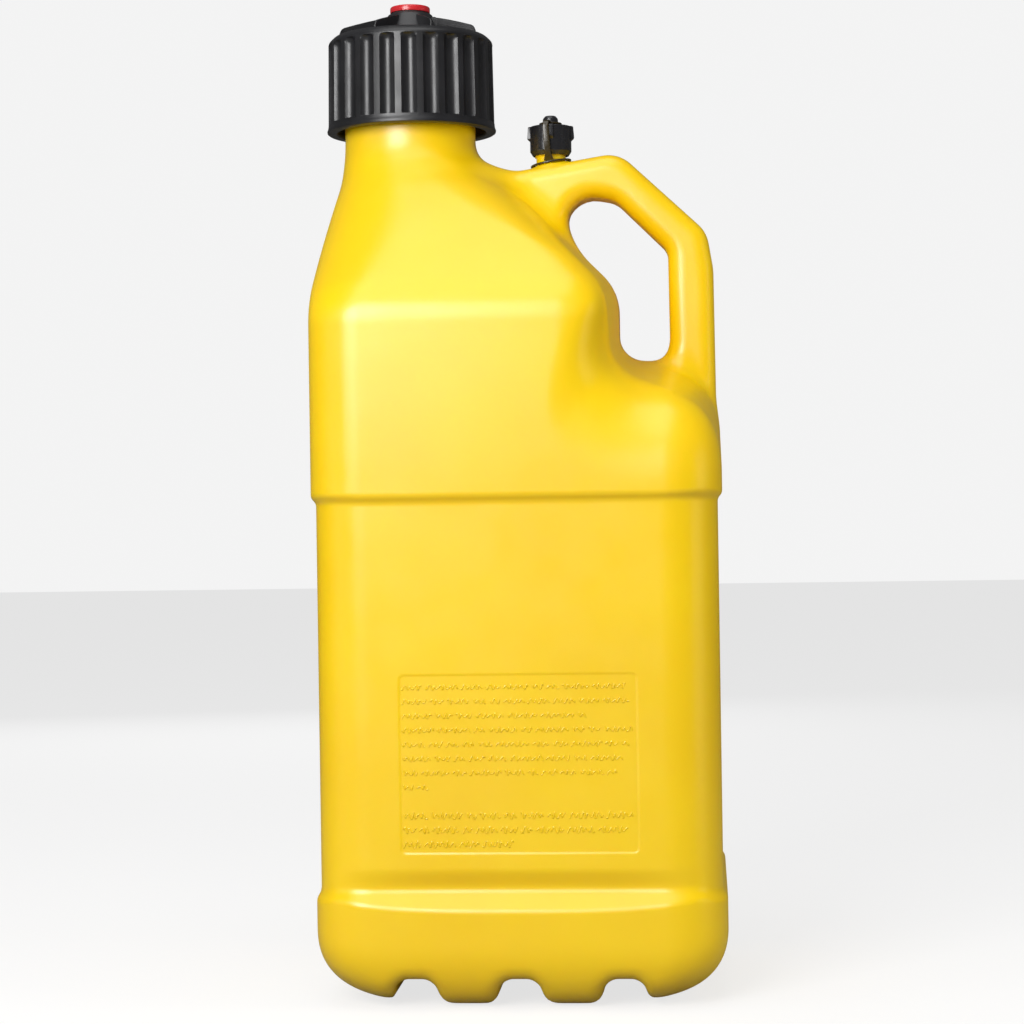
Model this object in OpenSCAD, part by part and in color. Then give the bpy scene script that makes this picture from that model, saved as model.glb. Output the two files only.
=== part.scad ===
// Square utility jug with a side handle, a screwed filler cap and a small screwed air vent.
// Millimetres, +Z up, +X towards the handle, origin at the centre of the base.

/* [Body] */
// Width and depth of the square body
body_w = 238; // [230:1:246]
// Radius of the upright corners
corner_r = 33; // [26:1:40]
// Wall thickness of the moulding
wall = 3.2; // [2.4:0.2:3.8]
// Height at which the straight sides end and the shoulders begin
shoulder_z = 403; // [396:1:406]
// Height at which the shoulders meet the neck
neck_z = 497; // [494:1:499]
// Depth of the label recess round the middle of the body
recess_d = 2.6; // [1.5:0.1:3]

/* [Base] */
// Width of a base groove at its ceiling
groove_w = 20; // [16:1:24]
// Height of the base grooves
groove_h = 17; // [12:1:19]
// Spacing of the base grooves
groove_pitch = 59.7; // [56:0.1:62]

/* [Neck and filler cap] */
// Distance of the neck's axis from the middle of the body
neck_x = -66.9; // [-70:0.1:-64]
// Outer radius of the neck
neck_r = 39; // [37:0.5:40]
// Height of the neck's rim
neck_top_z = 562.5; // [560:0.5:564]
// Outer radius of the filler cap over its ribs
cap_r = 50.4; // [49.4:0.2:51]
// Number of grip ribs round the filler cap
cap_ribs = 24; // [18:1:26]

/* [Vent] */
// Distance of the vent's axis from the middle of the body
vent_x = 18.4; // [16:0.1:22]
// Outer radius of the vent spout over its thread
vent_r = 9.8; // [9.6:0.1:9.9]
// Outer radius of the vent cap
vent_cap_r = 12.6; // [12.4:0.1:13]

/* [Hidden] */
$fn = 72;
e = 0.01;
half_w = body_w / 2;

// Heights of the steps in the sides
band_z = 53;
recess_z0 = 65;
recess_z1 = 293;
ledge_h = 3.5;

// Radii of the bottom edges, seen from the front and from the side
bottom_side_r = 44;
bottom_front_r = 32;

// Handle tube: path in the XZ plane, half thickness in that plane and half depth
handle_path = [[-14, 476.5], [60, 486], [103.3, 442.7], [103.3, 335]];
handle_bends = [0, 30, 26, 0];
handle_half = 13;
handle_depth = 17.5;

// Corners of the space cut out for the hand, and their radii
cove_x = 59;
cove_z = 374;
cove_diag = 475.6;

// Threaded neck finish under the filler cap
finish_z = 520;
finish_r = 41.6;
thread_r = 44.8;
neck_bore_r = neck_r - wall;
cap_thread_pitch = 8;

// Filler cap
cap_z0 = 515.8;
cap_bore_r = 45.2;
cap_ceiling_z = 565.8;
gusset_t = 1.2;
port_r = 9.8;
boss_z = 588.8;

// Vent
vent_z0 = 484;
vent_top_z = 513.5;
vent_bore_r = 6.4;
vent_thread_pitch = 3;
vent_cap_z0 = 500;
vent_cap_top_z = 518;
collar_z = 494.6;
collar_tilt = -9;

// ---- outlines ----

// Points of an arc that rounds the corner b of the path a, b, c with radius r
function bend(a, b, c, r, steps = 6) =
    r == 0 ? [b] :
    let (u = (a - b) / norm(a - b), v = (c - b) / norm(c - b),
         half = acos(u * v) / 2,
         centre = b + (u + v) / norm(u + v) * r / sin(half),
         p0 = b + u * r / tan(half), p1 = b + v * r / tan(half),
         a0 = atan2(p0[1] - centre[1], p0[0] - centre[0]),
         raw = atan2(p1[1] - centre[1], p1[0] - centre[0]) - a0,
         turn = raw > 180 ? raw - 360 : raw < -180 ? raw + 360 : raw)
    [for (i = [0:steps]) centre + r * [cos(a0 + turn * i / steps), sin(a0 + turn * i / steps)]];

// A closed outline with each corner rounded by its own radius
function rounded(points, radii) =
    let (n = len(points))
    [for (i = [0:n - 1]) each bend(points[(i + n - 1) % n], points[i], points[(i + 1) % n], radii[i])];

// An open path with its inner corners rounded
function rounded_path(points, radii) =
    [for (i = [0:len(points) - 1])
        each (i == 0 || i == len(points) - 1) ? [points[i]]
            : bend(points[i - 1], points[i], points[i + 1], radii[i])];

function square_plan(half, r) =
    rounded([[half, half], [-half, half], [-half, -half], [half, -half]], [r, r, r, r]);

// Extrudes an XZ outline along Y, over the given depth each side of the middle
module along_y(depth) {
    translate([0, depth, 0]) rotate([90, 0, 0]) linear_extrude(2 * depth) children();
}

// Extrudes a YZ outline along X, from x0 to x1
module along_x(x0, x1) {
    translate([x0, 0, 0]) rotate([90, 0, 90]) linear_extrude(x1 - x0) children();
}

module plan_block(z0, z1, inset) {
    translate([0, 0, z0]) linear_extrude(z1 - z0)
        polygon(square_plan(half_w - inset, max(corner_r - inset, 4)));
}

// ---- tank ----

// The square body up to the shoulders, with its band, recess and ledge, shrunk by inset
module body_block(inset) {
    top = shoulder_z + e;
    intersection() {
        union() {
            plan_block(inset, band_z - inset, inset);
            hull() {
                plan_block(band_z - inset - e, band_z - inset, inset);
                plan_block(recess_z0, recess_z0 + e, inset + recess_d);
            }
            plan_block(recess_z0, recess_z1 + ledge_h + inset, inset + recess_d);
            plan_block(recess_z1 + ledge_h + inset, top, inset);
        }
        along_y(half_w + 1) polygon(rounded(
            [[-half_w + inset, inset], [half_w - inset, inset], [half_w - inset, top], [-half_w + inset, top]],
            [bottom_side_r - inset, bottom_side_r - inset, 0, 0]));
        along_x(-half_w - 1, half_w + 1) polygon(rounded(
            [[-half_w + inset, inset], [half_w - inset, inset], [half_w - inset, top], [-half_w + inset, top]],
            [bottom_front_r - inset, bottom_front_r - inset, 0, 0]));
    }
}

// The shoulders, from the square body to the round neck
module shoulder(inset) {
    hull() {
        plan_block(shoulder_z - e, shoulder_z, inset);
        translate([neck_x, 0, neck_z - e]) cylinder(h = e, r = neck_r - inset, $fn = 40);
    }
}

// The space beside the neck for the hand, grown by grow into the body
module cove(grow) {
    far = half_w + 20;
    high = neck_z + 20;
    diag = cove_diag - grow * sqrt(2);
    along_y(half_w + 5) polygon(rounded(
        [[diag - high, high], [cove_x - grow, diag - cove_x + grow], [cove_x - grow, cove_z - grow],
         [far, cove_z - grow], [far, high]],
        [0, 24, 15 + grow, 0, 0]));
    floor = cove_floor(grow);
    along_x(cove_x - grow, far) polygon(concat(
        floor, [[half_w + 5, high], [-half_w - 5, high]],
        [for (i = [len(floor) - 1:-1:1]) [-floor[i][0], floor[i][1]]]));
}

// From the middle to the front, the floor of the cove as it falls and rounds over
function cove_floor(grow) =
    [[0, cove_z - grow], [90, 356 - grow], [110, 344 - grow], [half_w + 5, 322 - grow]];

module base_grooves(grow) {
    mouth = groove_w + 8;
    for (i = [-1:1])
        translate([i * groove_pitch, 0, 0]) along_y(half_w + 5) polygon(rounded(
            [[-mouth / 2 - grow - 3, -3], [mouth / 2 + grow + 3, -3],
             [groove_w / 2 + grow, groove_h + grow], [-groove_w / 2 - grow, groove_h + grow]],
            [0, 0, 5, 5]));
}

// A tube along the handle's path, shrunk by inset, with a ring at each point of the path
module handle_tube(inset) {
    path = rounded_path(handle_path, handle_bends);
    sides = 16;
    rings = [for (i = [0:len(path) - 1])
        let (prev = path[max(i - 1, 0)], next = path[min(i + 1, len(path) - 1)],
             t = (next - prev) / norm(next - prev), n = [-t[1], t[0]])
        [for (k = [0:sides - 1])
            let (q = 360 * k / sides,
                 w = (handle_half - inset) * sign(cos(q)) * pow(abs(cos(q)), 0.8),
                 d = (handle_depth - inset) * sign(sin(q)) * pow(abs(sin(q)), 0.8))
            [path[i][0] + n[0] * w, d, path[i][1] + n[1] * w]]];
    last = len(rings) - 1;
    polyhedron(
        points = [for (r = rings) each r],
        faces = [
            [for (k = [sides - 1:-1:0]) k],
            [for (k = [0:sides - 1]) last * sides + k],
            for (i = [0:last - 1], k = [0:sides - 1])
                let (a = i * sides + k, b = i * sides + (k + 1) % sides)
                [a, b, b + sides, a + sides]]);
}

// Web that joins the handle's root to the shoulder above the hand space
module handle_web(inset) {
    along_y(handle_half - inset) polygon(
        [[-30, 487.5 - inset], [20, 487.5 - inset], [42, 474], [33, 468], [29 - inset, 456 + inset], [34, 441],
         [0, 460], [-30, 480]]);
}

// Neck with the raised rings of its thread, and its plain stretch below the cap
module neck_outside() {
    translate([neck_x, 0, 0]) rotate_extrude() polygon(concat(
        [[0, neck_z - 12], [neck_r, neck_z - 12], [neck_r, finish_z], [finish_r, finish_z + 3]],
        [for (i = [0:3]) let (z = finish_z + 8 + i * cap_thread_pitch)
            each [[finish_r, z - 2.6], [thread_r, z - 1], [thread_r, z + 1], [finish_r, z + 2.6]]],
        [[finish_r, neck_top_z - 1], [finish_r - 1, neck_top_z], [0, neck_top_z]]));
}

module vent_outside() {
    root_r = vent_r - 0.9;
    translate([vent_x, 0, 0]) rotate_extrude() polygon(concat(
        [[0, vent_z0], [root_r, vent_z0], [root_r, 498]],
        [for (i = [0:3]) let (z = 500.5 + i * vent_thread_pitch)
            each [[root_r, z - 1.1], [vent_r, z - 0.4], [vent_r, z + 0.4], [root_r, z + 1.1]]],
        [[root_r, vent_top_z - 0.6], [root_r - 0.6, vent_top_z], [0, vent_top_z]]));
}

module tank() {
    color([1.0, 0.84, 0.1]) difference() {
        union() {
            difference() {
                union() {
                    body_block(0);
                    shoulder(0);
                }
                cove(0);
                base_grooves(0);
            }
            handle_tube(0);
            handle_web(0);
            neck_outside();
            vent_outside();
        }
        difference() {
            union() {
                body_block(wall);
                shoulder(wall);
            }
            cove(wall);
            base_grooves(wall);
        }
        handle_tube(wall);
        translate([neck_x, 0, neck_z - 20]) cylinder(h = neck_top_z - neck_z + 21, r = neck_bore_r);
        translate([vent_x, 0, handle_path[1][1] - 6]) cylinder(h = 40, r = vent_bore_r);
    }
}

// ---- filler cap, its gasket and the plug in its hose port ----

module filler_cap() {
    rib_top_z = 570.8;
    scallop_r = 5;
    scallop_d = 3;
    scallop_z = cap_z0 + 8;
    color([0.13, 0.13, 0.14]) translate([neck_x, 0, 0]) {
        difference() {
            rotate_extrude() polygon(
                [[port_r, boss_z], [port_r, cap_ceiling_z], [cap_bore_r, cap_ceiling_z], [cap_bore_r, cap_z0],
                 [cap_r + 1, cap_z0], [cap_r + 1.2, cap_z0 + 1], [cap_r + 0.4, cap_z0 + 7.3],
                 [cap_r - 0.4, rib_top_z], [46.6, 574], [45, 574.6], [20, 577.2], [18.2, 579.4],
                 [13.6, 588], [12.6, boss_z]]);
            for (i = [0:cap_ribs - 1]) rotate([0, 0, (i + 0.5) * 360 / cap_ribs])
                translate([cap_r - scallop_d + scallop_r, 0, scallop_z])
                    cylinder(h = rib_top_z - 3 - scallop_z, r = scallop_r);
        }
        for (i = [0:7]) rotate([0, 0, 22 + 45 * i]) along_y(gusset_t / 2) polygon(
            [[15, 570], [44, 570], [44, 576.6], [42.4, 578.9], [34.5, 581.3], [26, 583.9], [15.5, 585.8]]);
    }
}

module filler_gasket() {
    color([0.2, 0.2, 0.2]) translate([neck_x, 0, neck_top_z]) difference() {
        cylinder(h = cap_ceiling_z - neck_top_z - 0.3, r = cap_bore_r - 0.5);
        translate([0, 0, -1]) cylinder(h = 10, r = neck_bore_r);
    }
}

module hose_plug() {
    head_z = boss_z + 1;
    head_r = 12.2;
    color([0.8, 0.12, 0.14]) translate([neck_x, 0, 0]) rotate_extrude() polygon(
        [[0, 562], [port_r - 1.3, 562], [port_r - 0.3, 563.5], [port_r - 0.3, head_z], [head_r, head_z],
         [head_r, 592.7], [head_r - 0.9, 593.5], [0, 593.5]]);
}

module plug_washer() {
    color([0.1, 0.1, 0.1]) translate([neck_x, 0, boss_z]) difference() {
        cylinder(h = 1, r = 11.5);
        translate([0, 0, -1]) cylinder(h = 4, r = port_r - 0.3);
    }
}

// ---- vent cap, its gasket and the tether that keeps it on the tank ----

module vent_cap() {
    lugs = 6;
    ceiling_z = 515.6;
    bore_r = 10.3;
    color([0.13, 0.13, 0.14]) translate([vent_x, 0, 0]) {
        rotate_extrude() polygon(
            [[0, ceiling_z], [bore_r, ceiling_z], [bore_r, vent_cap_z0], [bore_r + 0.6, vent_cap_z0],
             [vent_cap_r, vent_cap_z0 + 2.8], [vent_cap_r, vent_cap_top_z - 1],
             [vent_cap_r - 1, vent_cap_top_z], [3.1, vent_cap_top_z], [3.1, 521.6], [4.6, 521.9], [4.6, 523.6],
             [3.4, 524.9], [0, 524.9]]);
        for (i = [0:lugs - 1]) rotate([0, 0, (i + 0.5) * 360 / lugs])
            translate([vent_cap_r - 1, -2.2, 509.9]) cube([2.5, 4.4, 7.6]);
    }
}

module vent_gasket() {
    color([0.2, 0.2, 0.2]) translate([vent_x, 0, vent_top_z]) cylinder(h = 1.8, r = 9.6);
}

module vent_tether() {
    strap_w = 3.8;
    strap_t = 1.2;
    strap_y = -15.9;
    eye_z = 519.4;
    ring_t = 1.6;
    color([0.1, 0.1, 0.1]) translate([vent_x, 0, 0]) {
        difference() {
            union() {
                translate([0, 0, eye_z]) cylinder(h = strap_t, r = 5.6);
                along_x(-strap_w / 2, strap_w / 2) polygon(
                    [[0, eye_z + 0.1], [strap_y, eye_z + 0.1], [strap_y, collar_z + 0.5],
                     [strap_y - strap_t, collar_z + 0.5], [strap_y - strap_t, eye_z + strap_t - 0.1],
                     [0, eye_z + strap_t - 0.1]]);
            }
            translate([0, 0, eye_z - 1]) cylinder(h = 4, r = 3.5);
        }
        translate([0, 0, collar_z]) rotate([0, collar_tilt, 0]) difference() {
            union() {
                cylinder(h = ring_t, r = 12.4);
                translate([-strap_w / 2 - 0.5, strap_y - strap_t / 2, 0.1]) cube([strap_w + 1, 6, ring_t - 0.2]);
            }
            translate([0, 0, -1]) cylinder(h = 4, r = 10.3);
        }
    }
}

tank();
filler_cap();
filler_gasket();
hose_plug();
plug_washer();
vent_cap();
vent_gasket();
vent_tether();
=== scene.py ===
import math
import random

import bmesh
import bpy
import numpy as np
import openvdb
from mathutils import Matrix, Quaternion, Vector


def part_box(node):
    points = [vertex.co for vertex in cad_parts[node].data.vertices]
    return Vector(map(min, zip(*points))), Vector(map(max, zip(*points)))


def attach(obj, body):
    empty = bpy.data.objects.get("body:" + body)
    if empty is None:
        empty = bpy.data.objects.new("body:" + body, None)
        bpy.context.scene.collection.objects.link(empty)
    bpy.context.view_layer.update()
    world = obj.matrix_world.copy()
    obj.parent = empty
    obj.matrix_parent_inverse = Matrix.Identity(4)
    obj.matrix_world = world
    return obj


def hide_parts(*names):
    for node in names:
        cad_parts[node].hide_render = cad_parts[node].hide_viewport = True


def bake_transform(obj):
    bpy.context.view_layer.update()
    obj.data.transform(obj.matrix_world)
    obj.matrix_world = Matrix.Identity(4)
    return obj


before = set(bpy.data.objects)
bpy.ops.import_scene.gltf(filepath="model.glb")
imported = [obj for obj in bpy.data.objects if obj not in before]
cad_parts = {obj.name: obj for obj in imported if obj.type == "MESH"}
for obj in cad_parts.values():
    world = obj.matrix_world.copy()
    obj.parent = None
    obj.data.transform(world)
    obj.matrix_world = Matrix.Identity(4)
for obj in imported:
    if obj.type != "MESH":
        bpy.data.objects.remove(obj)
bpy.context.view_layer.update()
scene = bpy.context.scene
MM = 0.001

# ---------------------------------------------------------------------------
# Sizes, in millimetres in the CAD frame
# ---------------------------------------------------------------------------

NECK_X = 1000 * sum(c.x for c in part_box("filler_cap")) / 2
VENT_X = 1000 * sum(c.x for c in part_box("vent_gasket")) / 2
HALF_W = 1000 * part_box("tank")[1].x
NECK_TOP = 1000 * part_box("filler_gasket")[0].z
VENT_TOP = 1000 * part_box("vent_gasket")[0].z
CAP_LOW = 1000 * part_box("filler_cap")[0].z
VENT_CAP_LOW = 1000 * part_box("vent_cap")[0].z

CORNER_R = 33
WALL = 3.2
SHOULDER_Z = 405
NECK_Z = 497
NECK_R = 39
NECK_CUT_Z = 519
BAND_TOP_Z = 68.5
LEDGE_Z = 289.3
PANEL_X, PANEL_Y = HALF_W - 2.6, HALF_W - 3.0
GROOVE_PITCH = 59.7
GROOVE_H = 17
COVE_DIAG = 475.6
COVE_X = 59
COVE_Z = 374

# The shallow plaque for the raised marks, on the front panel
PLAQUE_X, PLAQUE_Z = 1.6, 140.5
PLAQUE_HALF_W, PLAQUE_HALF_H = 67.5, 50.6
PLAQUE_DEPTH = 0.35

FILLER_PITCH = 8
VENT_PITCH = 3


# ---------------------------------------------------------------------------
# Distance functions (negative inside), all in millimetres
# ---------------------------------------------------------------------------

def ease(low, high, value):
    """0 below low, 1 above high, with a smooth change between."""
    t = np.clip((value - low) / (high - low), 0, 1)
    return t * t * (3 - 2 * t)


def join(a, b, k):
    """Union of two solids with a fillet of about k."""
    h = np.clip(0.5 + 0.5 * (b - a) / k, 0, 1)
    return b + (a - b) * h - k * h * (1 - h)


def cut(a, b, k):
    """Solid a without b, with its new edge softened by about k."""
    return -join(-a, b, k)


def round_both(a, b, r):
    """Intersection of two solids with an edge of radius r."""
    return np.minimum(np.maximum(a, b), -r) + np.hypot(np.maximum(a + r, 0), np.maximum(b + r, 0))


def round_rect(x, y, half_x, half_y, r):
    qx = np.abs(x) - (half_x - r)
    qy = np.abs(y) - (half_y - r)
    return np.hypot(np.maximum(qx, 0), np.maximum(qy, 0)) + np.minimum(np.maximum(qx, qy), 0) - r


def arc_outline(corners, steps=7):
    """A closed outline with rounded corners; each corner is (x, z, radius)."""
    points = []
    for i, (px, pz, r) in enumerate(corners):
        p = np.array([px, pz], float)
        a = np.array(corners[i - 1][:2], float) - p
        b = np.array(corners[(i + 1) % len(corners)][:2], float) - p
        a /= np.linalg.norm(a)
        b /= np.linalg.norm(b)
        if np.linalg.norm(a + b) < 1e-3:
            points.append(p)
            continue
        half = math.acos(float(np.clip(a @ b, -1, 1))) / 2
        centre = p + (a + b) / np.linalg.norm(a + b) * r / math.sin(half)
        first = p + a * r / math.tan(half) - centre
        last = p + b * r / math.tan(half) - centre
        start = math.atan2(first[1], first[0])
        turn = (math.atan2(last[1], last[0]) - start + math.pi) % (2 * math.pi) - math.pi
        for s in range(steps + 1):
            angle = start + turn * s / steps
            points.append(centre + r * np.array([math.cos(angle), math.sin(angle)]))
    return np.array(points)


def outline_distance(points, x, z):
    """Signed distance to a closed outline in the XZ plane."""
    best = np.full(np.broadcast(x, z).shape, 1e12)
    inside = np.zeros(best.shape, bool)
    for (ax, az), (bx, bz) in zip(points, np.roll(points, -1, axis=0)):
        ex, ez = bx - ax, bz - az
        wx, wz = x - ax, z - az
        t = np.clip((wx * ex + wz * ez) / (ex * ex + ez * ez), 0, 1)
        best = np.minimum(best, (wx - ex * t) ** 2 + (wz - ez * t) ** 2)
        if abs(ez) > 1e-9:
            crosses = ((az > z) != (bz > z)) & (wx < ex * wz / ez)
            inside ^= crosses
    return np.where(inside, -1, 1) * np.sqrt(best)


# Outer edge of the handle and of its root, clockwise from the neck
HANDLE_OUTLINE = arc_outline([
    (-30, 470, 1), (-30, 485.8, 6), (59.9, 500.0, 20), (112.6, 450.6, 20), (116.3, 428, 40),
    (117.0, 330, 1), (60, 330, 1), (20, 420, 1)])
# The finger hole between handle and shoulder
HOLE_OUTLINE = arc_outline([
    (27.5, 420, 1), (27.5, 476.5, 17), (57.8, 470.8, 16), (89.0, 439.8, 11), (89.8, 345, 1), (50, 345, 1)])


def groove_distance(x, z):
    """The grooves that run from front to back under the base."""
    index = np.clip(np.round(x / GROOVE_PITCH), -1, 1)
    off = np.abs(x - index * GROOVE_PITCH)
    flank = (off - 10 - np.maximum(GROOVE_H - z, 0) * 0.27) * 0.96
    return round_both(flank, z - GROOVE_H, 6)


def bottom_inset(z, wide, tall):
    """How far a side has moved in where the base rounds up into it."""
    s = np.clip((tall - z) / tall, 0, 0.99999) ** 2.3
    return wide * (1 - (1 - s) ** (1 / 2.3))


def drawn_in(x):
    """How much deeper the front and back panels are just above the band, most in the middle."""
    return 4.2 * (1 - np.clip(np.abs(x) / 106, 0, 1) ** 3.2)


def base_band(x, y, z):
    """The full-width band at the foot, with its sloping top."""
    in_x = bottom_inset(z, 56, 44)
    in_y = bottom_inset(z, 34, 38)
    plan = round_rect(np.abs(x) + in_x, np.abs(y) + in_y, HALF_W, HALF_W, CORNER_R + 2)
    panel = round_rect(x, np.abs(y) + drawn_in(x), PANEL_X, PANEL_Y, CORNER_R)
    top = BAND_TOP_Z - 3.5 * ease(-20, 20, np.abs(x) - np.abs(y))
    slope = 1.55
    ramp = (z - top + slope * panel) / math.hypot(1, slope)
    return np.maximum(round_both(plan, ramp, 0.9), -z)


def middle(x, y, z):
    """The recessed label panels, which draw in above the band."""
    draw = 1 - ease(BAND_TOP_Z, BAND_TOP_Z + 13, z)
    plan = round_rect(x, np.abs(y) + drawn_in(x) * draw, PANEL_X, PANEL_Y, CORNER_R)
    return np.maximum(np.maximum(plan, z - 330), 40 - z)


def upper(x, y, z):
    """The upper body above the ledge, drawn in over the shoulders to the neck."""
    soft = 13.0
    rise = (z - SHOULDER_Z) / (NECK_Z - SHOULDER_Z)
    w = soft / (NECK_Z - SHOULDER_Z)
    t = np.where(rise < -w, 0, np.where(rise > w, rise, (rise + w) ** 2 / (4 * w)))
    u = 1 - t
    w = 1.2 * w
    t = 1 - np.where(u < -w, 0, np.where(u > w, u, (u + w) ** 2 / (4 * w)))
    core = (HALF_W - CORNER_R) * (1 - t)
    r = CORNER_R * (1 - t) + NECK_R * t
    plan = round_rect(x - NECK_X * t, y, core + r, core + r, r + 80 * t * (1 - t)) - 18 * t * (1 - t)
    plan = plan * (1 - 0.2 * ease(-0.1, 0.1, rise) * ease(-0.1, 0.1, 1 - rise))
    panel = round_rect(x, y, PANEL_X, PANEL_Y, CORNER_R)
    ledge = (LEDGE_Z - z + 1.1 * panel) / math.hypot(1, 1.1)
    return round_both(plan, ledge, 1.1)


def cove(x, y, z):
    """The space beside the neck for the hand, wider towards the front and back."""
    away = np.sqrt(y * y + 100) - 10
    diag = (COVE_DIAG - x - z - 0.12 * away) / math.sqrt(2)
    wall = COVE_X - x - 0.05 * away
    floor = COVE_Z - z - 0.25 * away
    return round_both(join(diag, wall, 10), floor, 15 + 0.15 * away)


def handle(x, y, z):
    flat = np.maximum(outline_distance(HANDLE_OUTLINE, x, z), -outline_distance(HOLE_OUTLINE, x, z))
    return round_both(flat, np.abs(y) - 17.5, 9.5)


def tank_distance(x, y, z):
    body = join(base_band(x, y, z), middle(x, y, z), 1.5)
    body = join(body, upper(x, y, z), 1.2)
    below = (COVE_Z - z) - (COVE_X - x)
    edge = 14 + (12 + 24 * ease(-45, 15, below)) * ease(435, 385, z)
    body = cut(body, cove(x, y, z), edge)
    body = cut(body, groove_distance(x, z), 10)
    neck = np.maximum(np.hypot(x - NECK_X, y) - NECK_R, 470 - z)
    body = join(body, neck, 7)
    spout_foot = np.maximum(np.hypot(x - VENT_X, y) - 11.2, np.abs(z - 486.5) - 8 - 0.15 * (x - VENT_X))
    grip = join(handle(x, y, z), spout_foot, 3)
    body = join(body, grip, 15 - 12 * ease(95, 116, x) + 9 * ease(10, -20, x))
    plaque = round_both(round_rect(x - PLAQUE_X, z - PLAQUE_Z, PLAQUE_HALF_W, PLAQUE_HALF_H, 3),
                        y + PANEL_Y - PLAQUE_DEPTH, 0.1)
    body = cut(body, plaque, 0.5)
    return np.maximum(body, z - (NECK_CUT_Z + 9))


# ---------------------------------------------------------------------------
# Meshes
# ---------------------------------------------------------------------------

def new_object(name, mesh):
    obj = bpy.data.objects.new(name, mesh)
    scene.collection.objects.link(obj)
    mesh.shade_smooth()
    return obj


def steps(*stretches):
    """Grid lines: each stretch is (start, end, spacing), joined end to end."""
    lines = [np.array([stretches[0][0]], float)]
    for start, end, spacing in stretches:
        count = max(1, round((end - start) / spacing))
        lines.append(np.linspace(start, end, count + 1)[1:])
    return np.concatenate(lines)


def surface(distance, xs, ys, zs):
    """Quads of the zero surface of a distance function, moved exactly onto it."""
    field = distance(xs[:, None, None], ys[None, :, None], zs[None, None, :])
    grid = openvdb.FloatGrid(1e3)
    grid.copyFromArray(np.ascontiguousarray(field, dtype=np.float32))
    index, quads = grid.convertToQuads()
    points = np.stack([np.interp(index[:, i].astype(float), np.arange(len(c)), c)
                       for i, c in enumerate((xs, ys, zs))], axis=1)
    h = 0.05
    for _ in range(4):
        here = distance(*points.T)
        slope = np.stack([distance(*(points + h * axis).T) - distance(*(points - h * axis).T)
                          for axis in np.eye(3)], axis=1) / (2 * h)
        size = np.maximum((slope ** 2).sum(1), 1e-3)
        move = -(here / size)[:, None] * slope
        length = np.maximum(np.linalg.norm(move, axis=1), 1e-9)
        points += move * np.minimum(1, 0.8 / length)[:, None]
    return points, quads


def mesh_from(name, points, quads):
    mesh = bpy.data.meshes.new(name)
    mesh.vertices.add(len(points))
    mesh.vertices.foreach_set("co", (points * MM).astype(np.float32).ravel())
    mesh.loops.add(quads.size)
    mesh.loops.foreach_set("vertex_index", quads.astype(np.int32).ravel())
    mesh.polygons.add(len(quads))
    mesh.polygons.foreach_set("loop_start", np.arange(0, quads.size, 4, dtype=np.int32))
    mesh.update(calc_edges=True)
    mesh.validate()
    return mesh


def tank_grid():
    """Grid lines for the tank, closer together where its detail is fine."""
    left, right = PLAQUE_X - PLAQUE_HALF_W, PLAQUE_X + PLAQUE_HALF_W
    low, high = PLAQUE_Z - PLAQUE_HALF_H, PLAQUE_Z + PLAQUE_HALF_H
    xs = steps((-122, -84, 2.2), (-84, left - 2, 1.9), (left - 2, left + 2, 0.7), (left + 2, right - 2, 1.9),
               (right - 2, right + 2, 0.7), (right + 2, 122, 1.9))
    ys = steps((-122, -84, 2.2), (-84, -44, 3.3), (-44, 44, 1.8), (44, 84, 3.3), (84, 122, 2.2))
    zs = steps((-3, 4, 1.0), (4, 20, 1.4), (20, 48, 2.3), (48, low - 2, 1.1), (low - 2, low + 2, 0.7),
               (low + 2, high - 2, 4.0), (high - 2, high + 2, 0.7), (high + 2, 284, 4.0), (284, 296, 0.8),
               (296, 340, 2.8), (340, 530, 1.9))
    return xs, ys, zs


def open_top(bm, z):
    """Cuts a mesh off at height z and returns the edges of the opening."""
    geometry = bm.verts[:] + bm.edges[:] + bm.faces[:]
    bmesh.ops.bisect_plane(bm, geom=geometry, plane_co=(0, 0, z * MM), plane_no=(0, 0, 1), clear_outer=True)
    return [e for e in bm.edges if e.is_boundary]


def build_tank():
    xs, ys, zs = tank_grid()
    points, quads = surface(tank_distance, xs, ys, zs)
    outer = mesh_from("tank_shell", points, quads)
    spacing = 3.0
    level = openvdb.FloatGrid.createLevelSetFromPolygons(
        (points / spacing).astype(np.float32), quads=quads.astype(np.uint32), halfWidth=3.0)
    inner_points, inner_quads = level.convertToQuads(-WALL / spacing)
    inner = mesh_from("tank_inside", inner_points * spacing, inner_quads[:, ::-1])
    bm = bmesh.new()
    bm.from_mesh(outer)
    open_top(bm, NECK_CUT_Z)
    other = bmesh.new()
    other.from_mesh(inner)
    open_top(other, NECK_CUT_Z)
    other.to_mesh(inner)
    other.free()
    bm.from_mesh(inner)
    rims = [e for e in bm.edges if e.is_boundary]
    bmesh.ops.bridge_loops(bm, edges=rims)
    bm.to_mesh(outer)
    bm.free()
    bpy.data.meshes.remove(inner)
    return new_object("tank_shell", outer)


def ring_mesh(name, rings, closed):
    """Quads between rings of points; closed joins the last ring to the first, or else the ends are filled."""
    rings = np.asarray(rings, float)
    count, around = rings.shape[:2]
    rows = count if closed else count - 1
    i, k = np.meshgrid(np.arange(rows), np.arange(around), indexing="ij")
    j, m = (i + 1) % count, (k + 1) % around
    quads = np.stack([i * around + k, i * around + m, j * around + m, j * around + k], axis=-1).reshape(-1, 4)
    mesh = mesh_from(name, rings.reshape(-1, 3), quads)
    bm = bmesh.new()
    bm.from_mesh(mesh)
    if not closed:
        bmesh.ops.holes_fill(bm, edges=[e for e in bm.edges if e.is_boundary])
    bmesh.ops.remove_doubles(bm, verts=bm.verts, dist=1e-7)
    bmesh.ops.recalc_face_normals(bm, faces=bm.faces)
    bm.to_mesh(mesh)
    bm.free()
    return mesh


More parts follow.
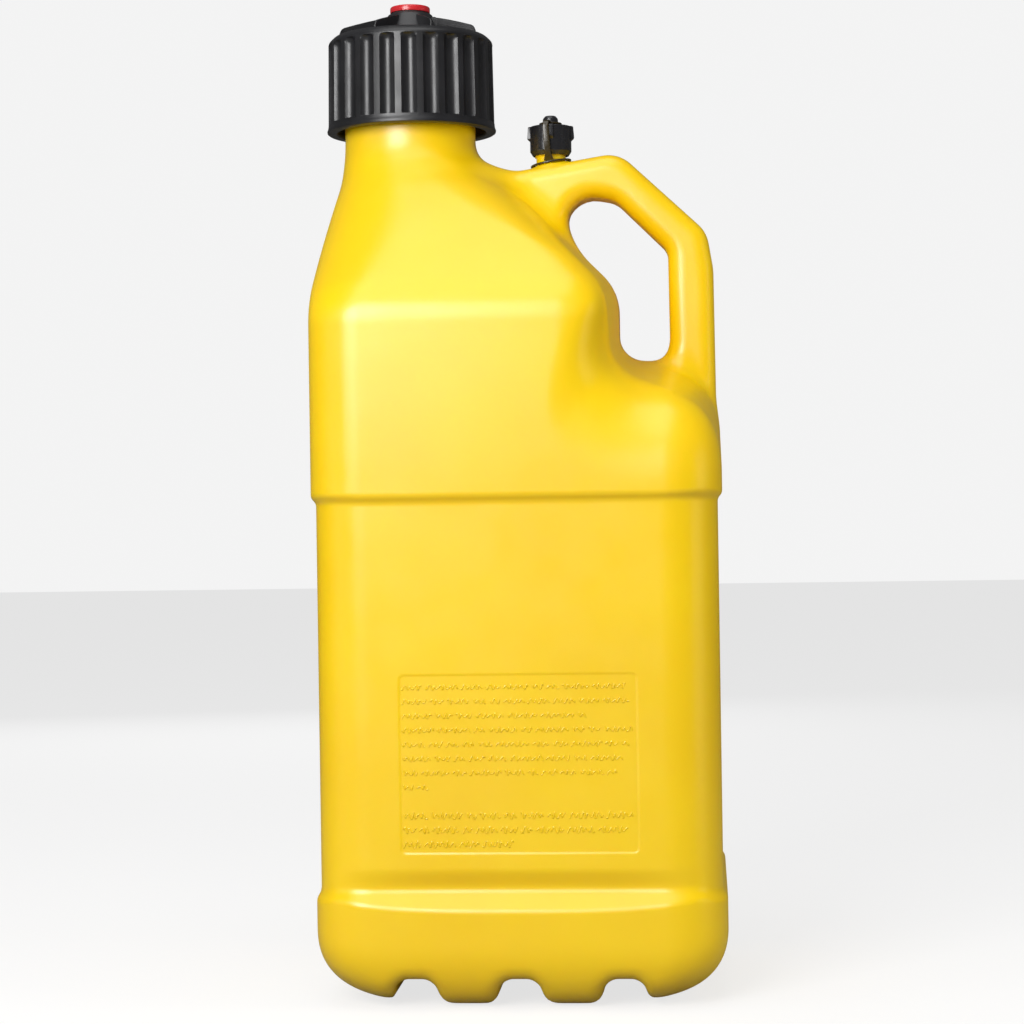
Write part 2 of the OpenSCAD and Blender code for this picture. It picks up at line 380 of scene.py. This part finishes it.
def round_profile(corners, spacing=1.0):
    """Points along an outline of (r, z, radius) corners, rounded, with none further apart than spacing."""
    outline = arc_outline([(r, z, max(q, 0.02)) for r, z, q in corners], steps=3)
    points = []
    for a, b in zip(outline, np.roll(outline, -1, axis=0)):
        pieces = max(1, math.ceil(np.linalg.norm(b - a) / spacing))
        points += [a + (b - a) * n / pieces for n in range(pieces)]
    return np.array(points)


def level_ring(centre_x, radii, angles, z):
    """A ring of points round an upright axis."""
    x, y = centre_x + radii * np.cos(angles), radii * np.sin(angles)
    return np.stack([x, y, np.full(len(angles), z)], axis=1)


def lathe(name, profile, centre_x, around=96, radius=None):
    """Turns a profile of (r, z) points round an upright axis; radius(r, z, angle) may change each radius."""
    angles = np.arange(around) * 2 * math.pi / around
    rings = []
    for r, z in profile:
        rr = np.full(around, r) if radius is None else radius(r, z, angles)
        rings.append(level_ring(centre_x, rr, angles, z))
    return ring_mesh(name, rings, closed=True)


def thread_ridge(z, angle, pitch, phase, crest, flank):
    """0 to 1: the height of a right-handed helical ridge."""
    turns = z / pitch - angle / (2 * math.pi) - phase
    off = np.abs(turns - np.round(turns)) * pitch
    return 1 - ease(crest, crest + flank, off)


def sweep_rings(path, section, up=(1, 0, 0)):
    """Rings of points: section (a list of sideways, upward offsets) carried along a path."""
    path = np.asarray(path, float)
    side = np.asarray(up, float)
    rings = []
    for i, point in enumerate(path):
        along = path[min(i + 1, len(path) - 1)] - path[max(i - 1, 0)]
        along /= np.linalg.norm(along)
        across = side - along * (side @ along)
        across /= np.linalg.norm(across)
        normal = np.cross(across, along)
        rings.append([point + across * a + normal * b for a, b in section])
    return np.array(rings)


def sweep(name, path, section, up=(1, 0, 0)):
    """A solid of one section along a path, with closed ends."""
    return ring_mesh(name, sweep_rings(path, section, up), closed=False)


def smooth_path(points, count):
    """A Catmull-Rom curve through points."""
    p = np.asarray(points, float)
    p = np.vstack([2 * p[0] - p[1], p, 2 * p[-1] - p[-2]])
    out = []
    for t in np.linspace(0, len(p) - 3 - 1e-6, count):
        i = int(t)
        u = t - i
        a, b, c, d = p[i:i + 4]
        out.append(0.5 * ((2 * b) + (c - a) * u + (2 * a - 5 * b + 4 * c - d) * u * u
                          + (3 * b - a - 3 * c + d) * u ** 3))
    return np.array(out)


def merge(name, meshes):
    """One mesh from several."""
    bm = bmesh.new()
    for mesh in meshes:
        bm.from_mesh(mesh)
        bpy.data.meshes.remove(mesh)
    mesh = bpy.data.meshes.new(name)
    bm.to_mesh(mesh)
    bm.free()
    return mesh


def place(name, mesh, body, slot, material, *nodes):
    """Makes the object, gives it its material and body, and hides the CAD nodes it stands for."""
    obj = new_object(name, mesh)
    mesh.materials.append(material)
    if nodes:
        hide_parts(*nodes)
    if body:
        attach(obj, body)
    return obj


def sharpen(obj, degrees):
    """Keeps edges steeper than this crisp under smooth shading."""
    obj.data.set_sharp_from_angle(angle=math.radians(degrees))
    return obj


# ---------------------------------------------------------------------------
# Neck finish and vent spout, with their threads
# ---------------------------------------------------------------------------

def neck_finish():
    bore = NECK_R - WALL
    profile = round_profile([
        (bore, 508, 0.1), (NECK_R - 0.5, 508, 0.1), (NECK_R - 0.5, 519.6, 0.5), (41.6, 522.8, 1),
        (41.6, 526, 0.1), (41.6, NECK_TOP, 1.2), (bore, NECK_TOP, 0.8)], spacing=0.9)

    def radius(r, z, angle):
        if r < 41.5:
            return np.full(len(angle), r)
        fade = ease(526, 529, z) * (1 - ease(553, 558, z))
        return r + 3.0 * fade * thread_ridge(z, angle, FILLER_PITCH, 0, 0.9, 1.4)

    return lathe("neck_finish", profile, NECK_X, 160, radius)


def vent_spout():
    profile = round_profile([
        (6.4, 489, 0.1), (8.9, 489, 0.1), (8.9, VENT_TOP, 0.6), (6.4, VENT_TOP, 0.4)], spacing=0.4)

    def radius(r, z, angle):
        if r < 8.8:
            return np.full(len(angle), r)
        fade = ease(497.5, 499, z) * (1 - ease(510, 512, z))
        return r + 0.85 * fade * thread_ridge(z, angle, VENT_PITCH, 0, 0.3, 0.6)

    return lathe("vent_spout", profile, VENT_X, 72, radius)


# ---------------------------------------------------------------------------
# Filler cap
# ---------------------------------------------------------------------------

RIBS = 24
RIM_Z = CAP_LOW
SCALLOP_LOW = CAP_LOW + 5.2
SCALLOP_HIGH = 569.4
PORT_R = 9.8
BOSS_Z = 1000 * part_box("plug_washer")[0].z


def cap_side_r(z):
    return 51.0 - 0.7 * (z - RIM_Z) / (571 - RIM_Z)


def scallop(z, angle):
    """Depth of the finger grooves between the ribs."""
    pitch = 2 * math.pi / RIBS
    off = (angle - math.radians(-90 + 12.6)) % pitch - pitch / 2
    tool, depth = 5.1, 2.9
    width = np.abs(off) * 50
    cut_in = np.sqrt(np.maximum(tool ** 2 - width ** 2, 0)) - (tool - depth)
    top = np.clip((z - (SCALLOP_HIGH - 4.5)) / 4.5, 0, 1)
    drop = depth * (1 - math.sqrt(1 - top * top))
    start = np.clip((z - SCALLOP_LOW) / 0.5, 0, 1)
    return np.maximum(cut_in - drop, 0) * start


def filler_cap():
    outer = [(cap_side_r(z) + extra, z) for z, extra in (
        (RIM_Z + 0.5, 0.6), (RIM_Z + 1.4, 0.75), (RIM_Z + 2.6, 0.3), (RIM_Z + 4, 0.05),
        (SCALLOP_LOW - 0.3, 0))]
    side = [SCALLOP_LOW, SCALLOP_LOW + 0.1, SCALLOP_LOW + 0.5, SCALLOP_LOW + 0.7]
    side += list(np.linspace(524, SCALLOP_HIGH - 4.6, 9))
    side += [SCALLOP_HIGH - 4.5 * (1 - math.sin(t)) for t in np.linspace(0.12, math.pi / 2, 12)]
    outer += [(cap_side_r(z), z) for z in side]
    crown = [(50.2, 570.0), (50.0, 570.7), (49.5, 571.4), (48.6, 572.3), (47.4, 573.4), (46.7, 573.9),
             (46.0, 574.15), (45.0, 574.35), (42, 574.7), (36, 575.4), (28, 576.3), (21, 577.2),
             (19.6, 577.9), (18.6, 579.2), (17.9, 580.6), (16.0, 584.0), (14.2, 587.1), (13.5, BOSS_Z - 0.5),
             (12.9, BOSS_Z - 0.1), (12.4, BOSS_Z), (PORT_R + 0.3, BOSS_Z), (PORT_R, BOSS_Z - 0.3)]
    ceiling = 566.0
    inner = [(PORT_R, 580), (PORT_R, ceiling + 0.4), (PORT_R + 0.4, ceiling), (20, ceiling), (32, ceiling),
             (44.2, ceiling), (45.0, ceiling - 0.3), (45.3, ceiling - 1.2)]
    inner += [(45.3, z) for z in np.arange(564, RIM_Z + 1.2, -0.8)]
    inner += [(45.4, RIM_Z + 0.8), (46.0, RIM_Z), (50.9, RIM_Z)]
    profile = outer + crown + inner
    last_crown = len(outer) + len(crown)
    around = RIBS * 14
    pitch = 2 * math.pi / RIBS
    edge = 4.65 / 50 / pitch
    within = np.concatenate(
        [[0, 0.5 - edge - 0.02], np.linspace(0.5 - edge, 0.5 + edge, 11), [0.5 + edge + 0.02]])
    angles = np.concatenate([(n + within) * pitch for n in range(RIBS)]) + math.radians(-90 + 12.6)
    rings = []
    for n, (r, z) in enumerate(profile):
        rr = np.full(around, float(r))
        if n < last_crown:
            rr = rr - scallop(z, angles)
        elif r == 45.3:
            fade = ease(RIM_Z + 5, RIM_Z + 9, z) * (1 - ease(551, 557, z))
            rr = rr - 2.8 * fade * thread_ridge(z, angles, FILLER_PITCH, 0.5, 0.8, 1.3)
        rings.append(level_ring(NECK_X, rr, angles, z))
    body = ring_mesh("filler_cap_body", rings, closed=True)
    gussets = []
    for n in range(8):
        a = math.radians(-112 + 45 * n)
        out = np.array([math.cos(a), math.sin(a), 0])
        side = np.array([-out[1], out[0], 0])
        shape = [(15, 571), (44.6, 571), (44.9, 575.2), (44.2, 576.9), (43.3, 578.2), (42.0, 579.0),
                 (34.5, 581.35), (27, 583.5), (21, 585.0), (18.5, 585.5), (17.2, 586.1), (15, 586.4)]
        ring = np.array([out * radius + np.array([NECK_X, 0, z]) for radius, z in shape])
        middle_point = ring.mean(axis=0)
        inner = middle_point + (ring - middle_point) * 0.985
        gussets.append(ring_mesh("gusset", [inner - side * 0.6, ring - side * 0.35, ring + side * 0.35,
                                            inner + side * 0.6], closed=False))
    return merge("filler_cap_body", [body] + gussets)


def filler_gasket():
    low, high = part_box("filler_gasket")
    return lathe("filler_gasket", round_profile([
        (36.2, low.z / MM, 0.5), (44.4, low.z / MM, 0.5), (44.4, high.z / MM, 0.5),
        (36.2, high.z / MM, 0.5)], 2), NECK_X, 96)


def hose_plug():
    head, top = BOSS_Z + 1, 1000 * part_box("hose_plug")[1].z
    return lathe("hose_plug", round_profile([
        (0.01, 568, 0), (7.2, 568, 1), (7.2, 562, 0.3), (9.2, 562, 0.5), (9.5, 565.5, 0.3), (9.5, head, 0.2),
        (12.2, head, 0.3), (12.2, top, 1.1), (9.4, top - 0.1, 0.3), (9.0, top - 0.5, 0.3),
        (0.01, top - 0.25, 0)], 1.5), NECK_X, 96)


def plug_washer():
    low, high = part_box("plug_washer")
    return lathe("plug_washer", round_profile([
        (9.55, low.z / MM, 0.1), (11.5, low.z / MM, 0.4), (11.5, high.z / MM, 0.4),
        (9.55, high.z / MM, 0.1)], 2), NECK_X, 72)


# ---------------------------------------------------------------------------
# Vent cap, gasket and tether
# ---------------------------------------------------------------------------

def vent_cap():
    low, knob_top = VENT_CAP_LOW, 1000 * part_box("vent_cap")[1].z
    profile = round_profile([
        (10.35, low, 0.2), (10.9, low, 0.2), (12.6, low + 2.6, 0.8), (12.6, 517.9, 0.6), (6.6, 518.7, 0.5),
        (4.9, 519.9, 0.6), (4.5, 522.9, 0.8), (3.2, knob_top - 0.4, 1.3), (0.01, knob_top, 0),
        (0.01, 515.6, 0), (10.35, 515.6, 0.4)], spacing=0.6)

    def radius(r, z, angle):
        if 10.3 < r < 10.4 and 502 < z < 513:
            fade = ease(502, 504, z) * (1 - ease(509, 512, z))
            return r - 0.9 * fade * thread_ridge(z, angle, VENT_PITCH, 0.5, 0.25, 0.55)
        rr = np.full(len(angle), r)
        if r > 9 and z > 508:
            off = (angle + math.pi / 4) % (math.pi / 2) - math.pi / 4
            wide = 1 - ease(2.1, 2.6, np.abs(off) * 13)
            tall = ease(508.8, 511.0, z) * (1 - 0.25 * ease(511, 518, z))
            rr = rr + 1.75 * wide * tall
        return rr

    return lathe("vent_cap_body", profile, VENT_X, 240, radius)


def vent_gasket():
    low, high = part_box("vent_gasket")
    return lathe("vent_gasket", round_profile([
        (0.01, low.z / MM, 0), (9.5, low.z / MM, 0.4), (9.5, high.z / MM, 0.4),
        (0.01, high.z / MM, 0)], 2), VENT_X, 72)


def vent_tether():
    low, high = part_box("vent_tether")
    eye_z = high.z / MM - 0.6
    eye = lathe("eye", round_profile([
        (4.6, eye_z - 0.6, 0.3), (6.9, eye_z - 0.9, 0.4), (6.9, eye_z + 0.2, 0.4),
        (4.6, eye_z + 0.5, 0.3)], 1), VENT_X, 48)
    collar = lathe("collar", round_profile([
        (9.8, 0, 0.4), (12.4, -0.3, 0.4), (12.4, 0.9, 0.5), (9.8, 1.2, 0.5)], 1), 0, 64)
    co = np.array([v.co for v in collar.vertices]) / MM
    co[:, 2] += co[:, 0] * math.tan(math.radians(9))
    co += np.array([VENT_X, 0, 495.2])
    collar.vertices.foreach_set("co", (co * MM).ravel())
    route = smooth_path([
        (VENT_X - 0.9, -5.6, eye_z), (VENT_X - 1.5, -9.5, eye_z + 0.2), (VENT_X - 1.9, -13.4, eye_z - 0.2),
        (VENT_X - 2.1, -15.6, 518.0), (VENT_X - 2.0, -16.0, 514), (VENT_X - 1.6, -16.0, 508),
        (VENT_X - 1.2, -15.2, 502.5), (VENT_X - 0.8, -13.4, 498.6), (VENT_X - 0.6, -11.6, 496.0)], 44)
    turns = np.linspace(0.08, 2 * math.pi + 0.08, 20, endpoint=False)
    section = [(1.8 * math.copysign(abs(math.cos(a)) ** 0.55, math.cos(a)),
                0.55 * math.copysign(abs(math.sin(a)) ** 0.55, math.sin(a))) for a in turns]
    rings = sweep_rings(route, section)
    flare = 1 + 0.55 * ease(501, 496, route[:, 2])
    rings[:, :, 0] = route[:, None, 0] + (rings[:, :, 0] - route[:, None, 0]) * flare[:, None]
    return merge("vent_tether", [eye, collar, ring_mesh("strap", rings, closed=False)])


# ---------------------------------------------------------------------------
# Raised marks on the front plaque: waved lines in place of wording
# ---------------------------------------------------------------------------

def plaque_marks():
    random.seed(11)
    row_lengths = (1.0, 0.985, 0.8, 1.0, 0.98, 0.955, 0.93, 0.11, 0, 1.0, 0.985, 0.48)
    left = PLAQUE_X - PLAQUE_HALF_W + 1.5
    width = 2 * PLAQUE_HALF_W - 4
    face = -PANEL_Y + PLAQUE_DEPTH
    section = [(0.46 * math.cos(a), 0.36 * math.sin(a)) for a in np.arange(0, 2 * math.pi, math.pi / 3)]
    words = []
    z = PLAQUE_Z + PLAQUE_HALF_H - 7
    for row, length in enumerate(row_lengths):
        height = 1.75 if row > 8 else 1.3
        x, end = left, left + width * length
        while x < end - 3:
            word = min(random.uniform(5, 19), end - x)
            t = np.linspace(0, word, max(14, int(word / 0.24)))
            phase = random.uniform(0, 6)
            wave = np.sin(t * 2.15 + phase) * (0.85 + 0.35 * np.sin(t * 0.83 + 2 * phase)) * height
            lean = 0.35 * np.sin(t * 1.3 + phase)
            up_down = z + np.clip(wave, -height, 1.5 * height)
            path = np.stack([x + t + lean, np.full(len(t), face), up_down], axis=1)
            words.append(sweep("word", path, section, up=(0, 0, 1)))
            x += word + 2.3
        z -= 8.1
    return merge("plaque_marks", words)


# ---------------------------------------------------------------------------
# Camera, light and floor
# ---------------------------------------------------------------------------

def build_camera():
    azimuth = math.radians(4.0)
    aside = math.radians(0.325)
    roll = math.radians(0.85)
    distance = 1.53
    camera = bpy.data.objects.new("camera", bpy.data.cameras.new("camera"))
    scene.collection.objects.link(camera)
    camera.data.lens = 87.9
    camera.data.clip_start = 0.05
    camera.location = (distance * math.sin(azimuth), -distance * math.cos(azimuth), 0.283)
    look = Vector((-math.sin(azimuth + aside), math.cos(azimuth + aside), 0))
    camera.rotation_mode = "QUATERNION"
    camera.rotation_quaternion = look.to_track_quat("-Z", "Y") @ Quaternion((0, 0, 1), -roll)
    scene.camera = camera


def area_light(name, place, target, size, power, glossy=True):
    data = bpy.data.lights.new(name, "AREA")
    data.shape = "RECTANGLE"
    data.size, data.size_y = size
    data.energy = power
    light = bpy.data.objects.new(name, data)
    light.location = place
    light.visible_glossy = glossy
    light.rotation_mode = "QUATERNION"
    light.rotation_quaternion = (Vector(target) - Vector(place)).to_track_quat("-Z", "Y")
    scene.collection.objects.link(light)


def build_studio():
    bpy.ops.mesh.primitive_plane_add(size=16)
    floor = bpy.context.object
    floor.name = "studio_floor"
    g = Graph("studio_floor")
    g.shader["Base Color"] = (0.26, 0.26, 0.26, 1)
    g.shader["Roughness"] = 0.9
    g.shader["Emission Color"] = (1, 1, 1, 1)
    seen = g.add("ShaderNodeLightPath").output("Is Camera Ray")
    g.shader["Emission Strength"] = g.spread(seen, 0, 1, 0, 0.74)
    floor.data.materials.append(g.material)
    world = bpy.data.worlds.new("studio")
    scene.world = world
    world.use_nodes = True
    nodes, links = world.node_tree.nodes, world.node_tree.links
    background = nodes["Background"]
    background.inputs["Color"].default_value = (1, 1, 1, 1)
    path = nodes.new("ShaderNodeLightPath")
    mix = nodes.new("ShaderNodeMapRange")
    mix.inputs["To Min"].default_value = 0.10
    mix.inputs["To Max"].default_value = 0.9
    links.new(path.outputs["Is Camera Ray"], mix.inputs["Value"])
    links.new(mix.outputs["Result"], background.inputs["Strength"])
    area_light("key", (-0.55, -1.4, 0.87), (0, 0, 0.45), (0.8, 0.85), 20)
    area_light("front", (0, -2.2, 1.3), (0, 0, 0.4), (2.2, 1.0), 7.5, glossy=False)
    area_light("left", (-1.5, -0.7, 0.5), (0, 0, 0.3), (0.7, 1.2), 5.5, glossy=False)
    area_light("right", (1.6, -0.4, 0.4), (0, 0, 0.25), (0.7, 1.0), 12, glossy=False)
    area_light("top", (-0.1, -0.45, 1.5), (0, 0, 0.4), (1.0, 1.2), 6)
    area_light("back", (-0.5, 1.8, 0.9), (0, 0, 0.3), (1.4, 1.2), 7, glossy=False)
    scene.view_settings.view_transform = "Standard"


# ---------------------------------------------------------------------------
# Materials
# ---------------------------------------------------------------------------

class Graph:
    """A material whose shader sockets are set or linked by name."""

    def __init__(self, name):
        self.material = bpy.data.materials.new(name)
        self.material.use_nodes = True
        self.nodes = self.material.node_tree.nodes
        self.links = self.material.node_tree.links
        self.shader = Sockets(self, self.nodes["Principled BSDF"])
        self.place = self.add("ShaderNodeTexCoord").output("Object")

    def add(self, kind, **values):
        node = self.nodes.new(kind)
        sockets = Sockets(self, node)
        for key, value in values.items():
            if hasattr(node, key):
                setattr(node, key, value)
            else:
                sockets[key.replace("_", " ")] = value
        return sockets

    def noise(self, scale, detail=2.0, rough=0.5):
        return self.add("ShaderNodeTexNoise", Vector=self.place, Scale=scale, Detail=detail,
                        Roughness=rough).output("Fac")

    def spread(self, value, low, high, to_low, to_high):
        return self.add("ShaderNodeMapRange", Value=value, From_Min=low, From_Max=high, To_Min=to_low,
                        To_Max=to_high).output("Result")

    def blend(self, factor, first, second):
        mix = self.add("ShaderNodeMix", data_type="RGBA")
        mix[0], mix[6], mix[7] = factor, first, second
        return mix.output(2)

    def bump(self, height, distance, strength=1.0, normal=None):
        node = self.add("ShaderNodeBump", Height=height, Distance=distance, Strength=strength)
        if normal is not None:
            node["Normal"] = normal
        return node.output("Normal")


class Sockets:
    def __init__(self, graph, node):
        self.graph, self.node = graph, node

    def __setitem__(self, key, value):
        socket = self.node.inputs[key]
        if isinstance(value, bpy.types.NodeSocket):
            self.graph.links.new(value, socket)
        else:
            socket.default_value = value

    def output(self, key):
        return self.node.outputs[key]


def tank_material():
    """Blow-moulded polyethylene: satin, a little wavy, finely grained, with a parting line at y = 0."""
    g = Graph("tank_plastic")
    cloud = g.noise(9, 3)
    g.shader["Base Color"] = g.blend(
        g.spread(cloud, 0.3, 0.7, 0, 1), (0.90, 0.565, 0.0005, 1), (0.95, 0.625, 0.001, 1))
    g.shader["Roughness"] = g.spread(g.noise(55, 4), 0.3, 0.7, 0.30, 0.36)
    axes = g.add("ShaderNodeSeparateXYZ", Vector=g.place)
    across = g.add("ShaderNodeMath", operation="ABSOLUTE")
    across[0] = axes.output("Y")
    seam = g.spread(across.output(0), 0, 0.0006, 1, 0)
    normal = g.bump(g.noise(22, 1), 0.0008, 0.35)
    normal = g.bump(g.noise(1400, 2), 0.00012, 0.3, normal)
    g.shader["Normal"] = g.bump(seam, 0.0002, 0.6, normal)
    g.shader["IOR"] = 1.54
    g.shader["Specular IOR Level"] = 0.8
    g.shader["Subsurface Weight"] = 0.12
    g.shader["Subsurface Radius"] = (1.0, 0.5, 0.05)
    g.shader["Subsurface Scale"] = 0.006
    return g.material


def cap_material(name, dark, light, low, high):
    """Injection-moulded black plastic, satin, with faint flow marks and a fine grain."""
    g = Graph(name)
    g.shader["Base Color"] = g.blend(g.spread(g.noise(40, 4), 0.3, 0.7, 0, 1), dark, light)
    g.shader["Roughness"] = g.spread(g.noise(90, 3), 0.3, 0.7, low, high)
    g.shader["Specular IOR Level"] = 0.7
    normal = g.bump(g.noise(70, 2), 0.0003, 0.25)
    g.shader["Normal"] = g.bump(g.noise(2600, 2), 0.00008, 0.3, normal)
    return g.material


build_camera()
build_studio()
yellow = tank_material()
black = cap_material("cap_plastic", (0.007, 0.007, 0.008, 1), (0.014, 0.014, 0.016, 1), 0.32, 0.42)
vent_black = cap_material("vent_plastic", (0.008, 0.008, 0.010, 1), (0.016, 0.016, 0.018, 1), 0.2, 0.3)
red = cap_material("plug_plastic", (0.46, 0.012, 0.018, 1), (0.56, 0.022, 0.028, 1), 0.18, 0.28)
rubber = cap_material("seal_rubber", (0.014, 0.014, 0.014, 1), (0.026, 0.026, 0.025, 1), 0.55, 0.7)
# Black rubber tether whose brown-yellow tint is a painted reflection of the yellow tank
strap_rubber_painted_reflection = cap_material("tether_rubber", (0.020, 0.014, 0.004, 1), (0.032, 0.023, 0.007, 1), 0.22, 0.32)

tank = build_tank()
tank.data.materials.append(yellow)
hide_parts("tank")
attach(tank, "tank")
place("neck_finish", neck_finish(), "tank", "tank_plastic", yellow)
place("vent_spout", vent_spout(), "tank", "tank_plastic", yellow)
place("plaque_marks", plaque_marks(), "tank", "tank_plastic", yellow)
sharpen(place("filler_cap_body", filler_cap(), "filler_cap", "cap_plastic", black, "filler_cap"), 38)
place("filler_gasket_ring", filler_gasket(), "filler_seal", "seal_rubber", rubber, "filler_gasket")
sharpen(place("hose_plug_body", hose_plug(), "hose_plug", "plug_plastic", red, "hose_plug"), 50)
place("plug_washer_ring", plug_washer(), "hose_plug", "seal_rubber", rubber, "plug_washer")
sharpen(place("vent_cap_body", vent_cap(), "vent_cap", "vent_plastic", vent_black, "vent_cap"), 40)
place("vent_gasket_disc", vent_gasket(), "vent_seal", "seal_rubber", rubber, "vent_gasket")
tether = place("vent_tether_strap", vent_tether(), None, "tether_rubber", strap_rubber_painted_reflection, "vent_tether")
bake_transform(tether)
